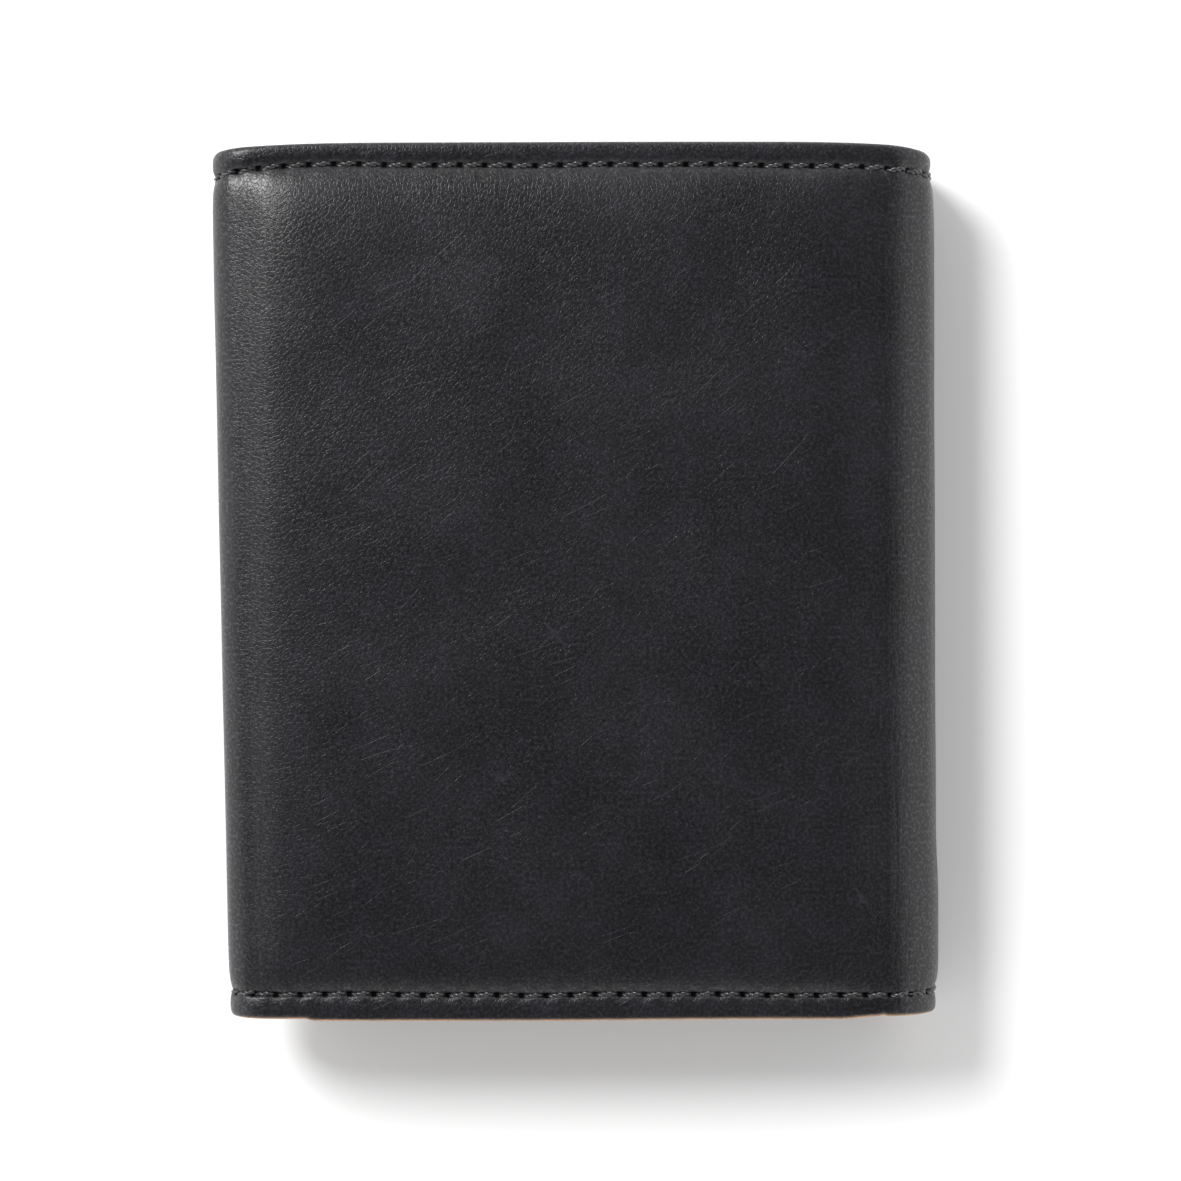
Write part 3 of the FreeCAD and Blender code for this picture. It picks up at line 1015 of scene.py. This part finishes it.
@dataclass(frozen=True)
class Weave(Finish):
    """Plain woven fabric."""

    dye: Colour = (0.017, 0.017, 0.020)
    yarn: float = 0.34

    def shader(self, canvas: Canvas, place: bpy.types.NodeSocket) -> bpy.types.Node:
        """Yarns that pass over and under each other, with painted shade where they dip."""
        turns = [part * (math.pi / self.yarn) for part in canvas.split(place)[:2]]
        warp, weft = (abs(turn.sine()) for turn in turns)
        over = (turns[0].sine() * turns[1].sine()).above(0.0)
        raised = warp * over + weft * (1.0 - over)
        wear = canvas.noise(place, 0.12, 3.0)
        # Painted shade: the colour darkens where the yarns dip between crossings; the wear noise is random
        # tone.
        tone = raised * 0.7 + wear * 0.5 + 0.25
        return canvas.add("ShaderNodeBsdfPrincipled", {}, {
            "Base Color": canvas.scaled(self.dye, tone), "Roughness": 0.72 + wear * 0.15,
            "Normal": canvas.bump(0.9, 0.08, raised), "Sheen Weight": 0.35, "Sheen Roughness": 0.5})


@dataclass(frozen=True)
class Film(Finish):
    """Clear flexible film with faint scuffs."""

    pattern: Pattern = Pattern.OBJECT

    def shader(self, canvas: Canvas, place: bpy.types.NodeSocket) -> bpy.types.Node:
        """Nearly clear, a little cloudier where it is scuffed."""
        scuff = canvas.noise(place, 0.35, 5.0, 0.7).step(0.45, 0.8)
        slack = canvas.noise(place, 0.06, 2.0)
        return canvas.add("ShaderNodeBsdfPrincipled", {}, {
            "Base Color": (0.75, 0.78, 0.80), "Roughness": 0.07 + scuff * 0.25, "Alpha": 0.10 + scuff * 0.12,
            "Normal": canvas.bump(0.3, 0.3, slack), "Specular IOR Level": 0.8})


@dataclass(frozen=True)
class Paper(Finish):
    """Matt white table top."""

    pattern: Pattern = Pattern.OBJECT

    def shader(self, canvas: Canvas, place: bpy.types.NodeSocket) -> bpy.types.Node:
        """Plain white with barely any tone in it."""
        tone = canvas.noise(place, 0.004, 1.0)
        colour = canvas.mix(tone, (0.90, 0.90, 0.90), (0.92, 0.92, 0.92))
        inputs = {"Base Color": colour, "Roughness": 0.95, "Specular IOR Level": 0.1}
        return canvas.add("ShaderNodeBsdfPrincipled", {}, inputs)


@dataclass(frozen=True)
class Stitch:
    """Size of one stitch of two-ply thread, in millimetres and degrees."""

    length: float = 2.5
    ply_radius: float = 0.165
    twists: float = 1.7
    arch: float = 0.6
    slant: float = 11.0
    jitter: float = 4.0
    seed: int = 5


class StitchTree:
    """Geometry Nodes that lay a twisted stitch on each point of a mesh."""

    sizes = ("Stitch Length", "Ply Radius", "Twists", "Arch", "Slant", "Jitter")
    places, sides = 15, 7

    def __init__(self) -> None:
        """Build the tree with its named inputs."""
        self.tree = bpy.data.node_groups.new("stitch_row", "GeometryNodeTree")
        self.canvas = Canvas(self.tree)
        face = self.tree.interface
        face.new_socket("Geometry", in_out="INPUT", socket_type="NodeSocketGeometry")
        self.inputs = {name: face.new_socket(name, in_out="INPUT", socket_type="NodeSocketFloat").identifier
                       for name in self.sizes}
        self.inputs["Seed"] = face.new_socket("Seed", in_out="INPUT", socket_type="NodeSocketInt").identifier
        self.inputs["Thread"] = face.new_socket(
            "Thread", in_out="INPUT", socket_type="NodeSocketMaterial").identifier
        face.new_socket("Geometry", in_out="OUTPUT", socket_type="NodeSocketGeometry")
        self.given = self.canvas.add("NodeGroupInput")
        stitch = self.canvas.add("GeometryNodeJoinGeometry", {}, {0: self.ply(0.0)})
        self.tree.links.new(self.ply(math.pi), stitch.inputs[0])
        smooth = self.canvas.add("GeometryNodeSetShadeSmooth", {}, {"Geometry": stitch.outputs[0]})
        laid = self.canvas.add("GeometryNodeInstanceOnPoints", {}, {
            "Points": self.given.outputs["Geometry"], "Instance": smooth.outputs[0],
            "Rotation": self.rotation(), "Scale": self.chance(0.94, 1.06, 2)})
        real = self.canvas.add("GeometryNodeRealizeInstances", {}, {0: laid.outputs[0]})
        dressed = self.canvas.add("GeometryNodeSetMaterial", {}, {
            "Geometry": real.outputs[0], "Material": self.given.outputs["Thread"]})
        self.canvas.add("NodeGroupOutput", {}, {0: dressed.outputs[0]})

    def size(self, name: str) -> Value:
        """A named input as a value."""
        return Value(self.canvas, self.given.outputs[name])

    def chance(self, low: Link, high: Link, offset: int) -> Value:
        """A random number for each stitch."""
        limits = {"Min": low, "Max": high, "Seed": self.size("Seed") + float(offset)}
        return self.canvas.value("FunctionNodeRandomValue", {"data_type": "FLOAT"}, limits, "Value")

    def ply(self, phase: float) -> bpy.types.NodeSocket:
        """One ply: a tube that winds round the stitch's arched line.

        Args:
            phase: Where the winding starts, in radians.

        Returns:
            The ply's geometry.
        """
        half = self.size("Stitch Length") * 0.5
        ends = [self.canvas.joined(X=end) for end in (half * -1.0, half)]
        line = self.canvas.add("GeometryNodeCurvePrimitiveLine", {}, {"Start": ends[0], "End": ends[1]})
        laid = {"Curve": line.outputs[0], "Count": self.places}
        points = self.canvas.add("GeometryNodeResampleCurve", {}, laid)
        share = self.canvas.value("GeometryNodeSplineParameter")
        turn = share * self.size("Twists") * (2 * math.pi) + phase
        radius = self.size("Ply Radius")
        out = abs(share * 2.0 - 1.0)
        fall = out * out * out * self.size("Arch")
        pinch = 1.0 - out * out * 0.35
        rise = turn.sine() * radius * pinch * 0.8 - fall
        offset = self.canvas.joined(Y=turn.cosine() * radius * pinch, Z=rise)
        moved = {"Geometry": points.outputs[0], "Offset": offset}
        wound = self.canvas.add("GeometryNodeSetPosition", {}, moved)
        section = {"Resolution": self.sides, "Radius": radius}
        circle = self.canvas.add("GeometryNodeCurvePrimitiveCircle", {}, section)
        tube = self.canvas.add("GeometryNodeCurveToMesh", {}, {
            "Curve": wound.outputs[0], "Profile Curve": circle.outputs[0], "Fill Caps": True})
        return tube.outputs[0]

    def rotation(self) -> bpy.types.NodeSocket:
        """Each stitch along its seam, flat on the surface, and turned by the slant and a little chance."""
        axes = [self.canvas.add("GeometryNodeInputNamedAttribute", {"data_type": "FLOAT_VECTOR"},
                                {"Name": name}).outputs[0] for name in ("up", "along")]
        base = self.canvas.add("FunctionNodeAxesToRotation", {"primary_axis": "Z", "secondary_axis": "X"},
                               {0: axes[0], 1: axes[1]})
        jitter = self.size("Jitter") * (math.pi / 180)
        turn = self.size("Slant") * (math.pi / 180) + self.chance(jitter * -1.0, jitter, 0)
        euler = self.canvas.joined(Y=self.chance(jitter * -0.6, jitter * 0.6, 1), Z=turn)
        local = self.canvas.add("FunctionNodeEulerToRotation", {}, {0: euler})
        turned = self.canvas.add("FunctionNodeRotateRotation", {"rotation_space": "LOCAL"}, {
            0: base.outputs[0], 1: local.outputs[0]})
        return turned.outputs[0]


@dataclass
class Seats:
    """Where stitches lie: their middles, and the directions along the seam and out of the surface."""

    points: list[np.ndarray] = field(default_factory=list)
    along: list[np.ndarray] = field(default_factory=list)
    up: list[np.ndarray] = field(default_factory=list)

    def add(self, before: np.ndarray, after: np.ndarray, inner: np.ndarray, lift: float) -> None:
        """Add one stitch.

        Args:
            before: A point of the surface a little back along the seam.
            after: A point of the surface a little further along the seam.
            inner: A point below the surface under the stitch.
            lift: Height of the thread's middle above the surface, in metres.
        """
        middle = (before + after) / 2
        along = (after - before) / np.linalg.norm(after - before)
        up = middle - inner
        up -= along * float(up @ along)
        up /= np.linalg.norm(up)
        self.points.append(middle + up * lift)
        self.along.append(along)
        self.up.append(up)

    def sew(self, name: str, stitch: Stitch, tree: StitchTree, finish: Finish) -> bpy.types.Object:
        """Lay the thread and return it as one plain mesh.

        Args:
            name: The piece's name.
            stitch: The stitch's sizes.
            tree: The nodes that lay it.
            finish: The thread's finish.

        Returns:
            The piece.
        """
        holes = bpy.data.meshes.new(f"{name}_holes")
        holes.from_pydata([tuple(point) for point in self.points], [], [])
        for key, values in (("along", self.along), ("up", self.up)):
            attribute = holes.attributes.new(key, "FLOAT_VECTOR", "POINT")
            attribute.data.foreach_set("vector", np.array(values, np.float32).ravel())
        maker = as_object(f"{name}_maker", holes, finish.material())
        modifier = maker.modifiers.new("stitches", "NODES")
        modifier.node_group = tree.tree
        sizes = (stitch.length * MM, stitch.ply_radius * MM, stitch.twists, stitch.arch * MM, stitch.slant,
                 stitch.jitter)
        for key, value in zip(tree.sizes, sizes):
            modifier[tree.inputs[key]] = value
        modifier[tree.inputs["Seed"]] = stitch.seed
        modifier[tree.inputs["Thread"]] = finish.material()
        bpy.context.view_layer.update()
        mesh = bpy.data.meshes.new_from_object(maker.evaluated_get(bpy.context.evaluated_depsgraph_get()))
        mesh.name = name
        bpy.data.objects.remove(maker)
        bpy.data.meshes.remove(holes)
        piece = as_object(name, mesh, finish.material())
        return piece


class EdgeSeams:
    """The two long rows of stitches and the rows down the flaps' free ends."""

    reach = 0.35
    lift = 0.1 * MM

    def __init__(self, relief: Relief, pitch: float) -> None:
        """Keep the strip and the pitch."""
        self.relief, self.pitch = relief, pitch

    def surface(self, along: float, across: float, sink: float = 0.0) -> np.ndarray:
        """A point of the sewn outside face, or below it."""
        places, lines = np.array([along]), np.array([across])
        height = self.relief.height(places, lines, self.pitch)
        return self.relief.place(places, lines, sink - height)[0]

    def seats(self, span: Span) -> Seats:
        """Every outside stitch of one zone."""
        seats = Seats()
        inset = self.relief.seam_inset
        for number in range(round(self.relief.length / self.pitch)):
            along = (number + 0.5) * self.pitch
            inside = span.start <= along < span.end
            if not inside or min(along, self.relief.length - along) < inset:
                continue
            for side in (0, 1):
                ends = []
                for offset in (-self.reach, self.reach):
                    row = float(self.relief.rows(np.array([along + offset]))[side][0])
                    ends.append(self.surface(along + offset, row))
                row = float(self.relief.rows(np.array([along]))[side][0])
                seats.add(ends[0], ends[1], self.surface(along, row, 1.0), self.lift)
        if span.zone in (Zone.INNER_FLAP, Zone.OUTER_FLAP):
            self.free_end(seats, inset if span.zone is Zone.INNER_FLAP else self.relief.length - inset)
        return seats

    def free_end(self, seats: Seats, along: float) -> None:
        """The row down one flap's free end."""
        low, high = (float(row[0]) for row in self.relief.rows(np.array([along])))
        count = round((high - low) / self.pitch)
        step = (high - low) / count
        for number in range(1, count):
            across = low + number * step
            seats.add(self.surface(along, across - self.reach), self.surface(along, across + self.reach),
                      self.surface(along, across, 1.0), self.lift)


@dataclass
class Wallet:
    """The folded strip with everything that is sewn to it."""

    pitch: float = 2.9
    mouth: float = 45.0
    pocket_tops: tuple[float, ...] = (32.0, 20.0, 8.0)
    pocket_inset: float = 1.5
    side_start: float = 2.6
    frame_inset: float = 1.6
    shell: Leather = Leather("smooth_black_leather", seam=True)
    inside: Leather = Leather(
        "inner_black_leather", dye=(0.0085, 0.0083, 0.0095), grain=3.1, grain_depth=0.05, roughness=0.5)
    plain: Leather = replace(inside, name="frame_black_leather", pattern=Pattern.OBJECT)
    lining: Weave = Weave("black_lining_weave")
    tape: Weave = Weave("black_tape_weave", Pattern.OBJECT, yarn=0.5)
    film: Film = Film("clear_window_film")
    thread: Thread = Thread("waxed_black_thread")

    def __post_init__(self) -> None:
        """Lay out the strip."""
        self.path = FoldPath()
        self.stack = Stack()
        self.relief = Relief(self.path)
        self.spans = spans(self.relief)
        self.tree = StitchTree()

    def build(self) -> None:
        """Make every piece in order, from the outside in."""
        self.skins()
        self.linings()
        self.dividers()
        self.edge_seams()
        self.card_pockets("centre", "centre_panel", self.relief.top_start, 1)
        self.card_pockets("outer_flap", "outer_flap", self.relief.outer_start, -1)
        self.identity_pocket()

    def skins(self) -> None:
        """The outer leather."""
        skin = ShellSkin(self.relief, self.stack, self.pitch)
        for span in self.spans:
            skin.build(span, self.shell)

    def reach(self, inset: float) -> tuple[Limit, Limit]:
        """Lower and upper limit of a layer that stops short of both edges."""
        edges = self.relief.edges
        return lambda along: edges(along)[0] + inset, lambda along: edges(along)[1] - inset

    def linings(self) -> None:
        """Fabric behind the bill compartment, sewn in under the turned edges."""
        low, high = self.reach(ShellSkin.wall)
        marks = [ShellSkin.wall, self.relief.left, self.relief.top_start + 8.0, self.relief.right,
                 self.relief.length - ShellSkin.wall]
        for span, start, end in zip(self.spans, marks, marks[1:]):
            name = f"lining_{span.zone.value}"
            layer = Layer(self.relief, name, self.stack.shell, self.stack.lining_end, low, high, 3.0, 0.1)
            piece = layer.build(stations(self.relief, start, end, 1.2), self.lining, "lining_fabric")
            span.fit(piece, self.relief, (layer.outer + layer.inner) / 2, "lining")

    def dividers(self) -> None:
        """Leather inner wall of the bill compartment."""
        low = self.reach(ShellSkin.wall)[0]
        for span in self.spans:
            name = f"divider_{span.zone.value}"
            layer = Layer(self.relief, name, self.stack.divider_start, self.stack.divider_end, low,
                          lambda along: self.mouth + 0 * along, 1.5, 0.35, crease_inset=2.0)
            along = stations(self.relief, span.start, span.end, 1.0)
            piece = layer.build(along, self.inside, "pocket_leather")
            span.fit(piece, self.relief, (layer.outer + layer.inner) / 2, "divider")

    def edge_seams(self) -> None:
        """Thread along the edges."""
        seams = EdgeSeams(self.relief, self.pitch)
        for span in self.spans:
            name = f"seam_stitches_{span.zone.value}"
            piece = seams.seats(span).sew(name, Stitch(), self.tree, self.thread)
            span.fit(piece, self.relief, 0.0, "seam_stitches")

    def strip_place(self, start: float, sign: int, x: float) -> float:
        """Distance along the strip of an X on a flat panel."""
        zero = self.path.inner_radius - self.path.half_width if sign > 0 else (
            self.path.half_width - self.path.outer_radius)
        return start + sign * (x - zero)

    def card_pockets(self, name: str, body: str, start: float, sign: int) -> None:
        """Stepped card pockets on one panel, with their seam tape and stitches.

        Args:
            name: The panel's name in the CAD nodes.
            body: The body they ride on.
            start: Distance along the strip at which the flat panel starts.
            sign: 1 where X grows along the strip, and -1 where it falls.
        """
        seats = Seats()
        floor = -self.relief.half + ShellSkin.wall
        low, high = mm_box(f"{name}_card_pocket_1")
        ends = sorted(self.strip_place(start, sign, x) for x in (low.x, high.x))
        for index, top in enumerate(self.pocket_tops):
            front = self.stack.pocket_front(index)
            layer = Layer(self.relief, f"leather_{name}_pocket_{index + 1}", front - self.stack.pocket, front,
                          lambda along: floor + 0 * along, lambda along, top=top: top + 0 * along, 1.2, 0.3,
                          crease_inset=2.6, swell=0.08)
            along = np.arange(ends[0], ends[1] + 0.01, (ends[1] - ends[0]) / 60)
            piece = layer.build(along, self.inside, "pocket_leather")
            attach(piece, body)
            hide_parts(f"{name}_card_pocket_{index + 1}")
            below = self.pocket_tops[index + 1] if index + 1 < len(self.pocket_tops) else floor + 4.5
            self.pocket_seam(seats, ends, front, top, below)
            LOG.info("made %s", layer.name)
        thread = Stitch(length=1.9, ply_radius=0.12, arch=0.3, slant=8.0)
        piece = seats.sew(f"pocket_stitches_{name}", thread, self.tree, self.thread)
        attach(piece, body)
        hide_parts(f"{name}_pocket_stitches")
        self.dress(f"{name}_pocket_seam_tape", self.tape)

    def pocket_seam(self, seats: Seats, ends: Sequence[float], front: float, top: float,
                    below: float) -> None:
        """Stitches along a pocket's mouth and down both of its visible sides.

        Args:
            seats: Where the stitches are added.
            ends: The pocket's two ends along the strip.
            front: Depth of its visible face.
            top: Y of its mouth.
            below: Y of the next pocket's mouth.
        """
        def inside(along: float, across: float, sink: float = 0.0) -> np.ndarray:
            return self.relief.place(np.array([along]), np.array([across]), front - sink)[0]

        reach, inset, lift = EdgeSeams.reach, self.pocket_inset, 0.5 * EdgeSeams.lift
        count = round((ends[1] - ends[0] - 2 * inset) / self.pitch)
        step = (ends[1] - ends[0] - 2 * inset) / count
        for number in range(count):
            along = ends[0] + inset + (number + 0.5) * step
            row = top - inset
            seats.add(inside(along - reach, row), inside(along + reach, row), inside(along, row, 1.0), lift)
        count = int((top - below - 2.2) / self.pitch)
        for side in (ends[0] + inset, ends[1] - inset):
            for number in range(count):
                across = top - self.side_start - (number + 0.5) * (top - below - self.side_start) / count
                seats.add(inside(side, across - reach), inside(side, across + reach),
                          inside(side, across, 1.0), lift)

    def identity_pocket(self) -> None:
        """Leather frame, clear film and tape on the inner flap, with stitches round the frame."""
        self.dress("inner_flap_id_frame", self.plain)
        self.dress("inner_flap_id_window", self.film)
        self.dress("inner_flap_seam_tape", self.tape)
        low, high = mm_box("inner_flap_id_frame")
        seats = Seats()
        inset, reach = self.frame_inset, EdgeSeams.reach
        corners = [(low.x + inset, high.y - inset - 0.5), (low.x + inset, low.y + inset + 4.0),
                   (high.x - inset, low.y + inset + 4.0), (high.x - inset, high.y - inset - 0.5)]
        for (x0, y0), (x1, y1) in zip(corners, corners[1:]):
            span = math.dist((x0, y0), (x1, y1))
            count = round(span / self.pitch)
            way = np.array([x1 - x0, y1 - y0, 0.0]) / span
            for number in range(count):
                middle = np.array([x0, y0, high.z]) + way * span * (number + 0.5) / count
                seats.add((middle - way * reach) * MM, (middle + way * reach) * MM,
                          (middle - np.array([0, 0, 1.0])) * MM, 0.0)
        thread = Stitch(length=1.9, ply_radius=0.11, arch=0.3, slant=8.0)
        piece = seats.sew("id_frame_stitches", thread, self.tree, self.thread)
        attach(piece, "inner_flap")

    @staticmethod
    def dress(node: str, finish: Finish) -> None:
        """Give a CAD node that stays its finish."""
        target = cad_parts[node]
        target.data.materials.clear()
        target.data.materials.append(finish.material())
        LOG.info("dressed %s", node)


@dataclass
class Studio:
    """White table, soft light from the upper left and a camera straight above."""

    view_width: float = 137.6
    height: float = 380.0
    aim: tuple[float, float] = (1.4, -1.1)
    sensor: float = 36.0
    key_power: float = 6.7
    key_size: float = 0.32
    ambient: float = 1.8
    overhead: float = 0.135
    key_place: tuple[float, float, float] = (-0.41, 0.40, 0.57)
    dim_above: float = 0.92
    bright_below: float = 0.32
    table_half: float = 2.0

    def build(self) -> None:
        """Make the table, the lights and the camera."""
        self.table()
        self.lights()
        self.camera()

    def table(self) -> None:
        """A large white table top under the wallet."""
        side = self.table_half
        corners = [(-side, -side, 0), (side, -side, 0), (side, side, 0), (-side, side, 0)]
        mesh = bpy.data.meshes.new("table")
        mesh.from_pydata(corners, [], [(0, 1, 2, 3)])
        as_object("table", mesh, Paper("table_white").material())

    def lights(self) -> None:
        """A soft key light and a white surround that is dim overhead."""
        data = bpy.data.lights.new("key", "AREA")
        data.energy, data.size, data.shape = self.key_power, self.key_size, "DISK"
        key = bpy.data.objects.new("key", data)
        bpy.context.scene.collection.objects.link(key)
        key.location = self.key_place
        key.rotation_mode = "QUATERNION"
        key.rotation_quaternion = key.location.to_track_quat("Z", "Y")
        world = bpy.data.worlds.new("surround")
        world.use_nodes = True
        canvas = Canvas(world.node_tree)
        way = canvas.add("ShaderNodeTexCoord").outputs["Generated"]
        rise = canvas.split(way)[2]
        share = rise.step(self.dim_above, self.bright_below)
        strength = self.overhead + share * (self.ambient - self.overhead)
        shade = canvas.add("ShaderNodeBackground", {}, {"Color": (1.0, 1.0, 1.0), "Strength": strength})
        canvas.add("ShaderNodeOutputWorld", {}, {"Surface": shade.outputs[0]})
        bpy.context.scene.world = world
        bpy.context.scene.view_settings.view_transform = "Standard"

    def camera(self) -> None:
        """A long lens above the middle of the table."""
        data = bpy.data.cameras.new("camera")
        data.sensor_width = self.sensor
        data.lens = self.sensor * self.height / self.view_width
        data.clip_start, data.clip_end = 0.01, 10.0
        camera = bpy.data.objects.new("camera", data)
        bpy.context.scene.collection.objects.link(camera)
        top = CAD_BOX[1].z
        camera.location = (self.aim[0] * MM, self.aim[1] * MM, top + self.height * MM)
        bpy.context.scene.camera = camera


def main() -> None:
    """Build the studio and the wallet."""
    logging.basicConfig(level=logging.INFO, format="%(name)s: %(message)s")
    Studio().build()
    Wallet().build()
    bpy.context.view_layer.update()


if __name__ == "__main__":
    main()
